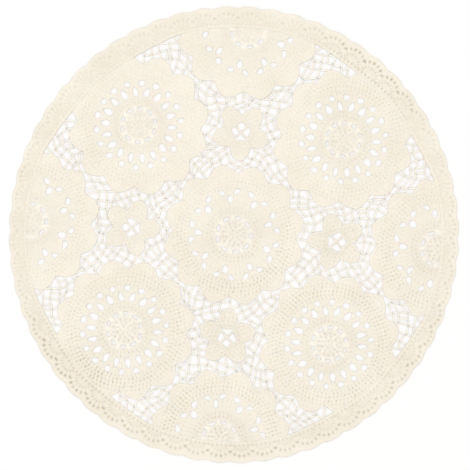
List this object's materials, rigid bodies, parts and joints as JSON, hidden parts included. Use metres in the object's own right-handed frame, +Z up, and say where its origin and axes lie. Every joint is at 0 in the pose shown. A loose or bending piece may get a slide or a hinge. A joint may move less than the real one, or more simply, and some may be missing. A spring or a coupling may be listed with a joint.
{
  "type": "openwork placemat",
  "caption": "Round flat lace placemat with wheel medallions, small rosettes, a barred net ground and a scalloped border, laid on a table under a plate.",
  "frame": {"origin": "middle of the mat, on its underside", "axes": "+Z up from the table, +X and +Y along the lace's two main axes, each through a rosette and a medallion"},
  "size_m": [0.377, 0.383, 0.002],
  "materials": {
    "lace": "matt cream crocheted cotton"
  },
  "bodies": {
    "root": {"lace_placemat": "lace"}
  },
  "joints": []
}
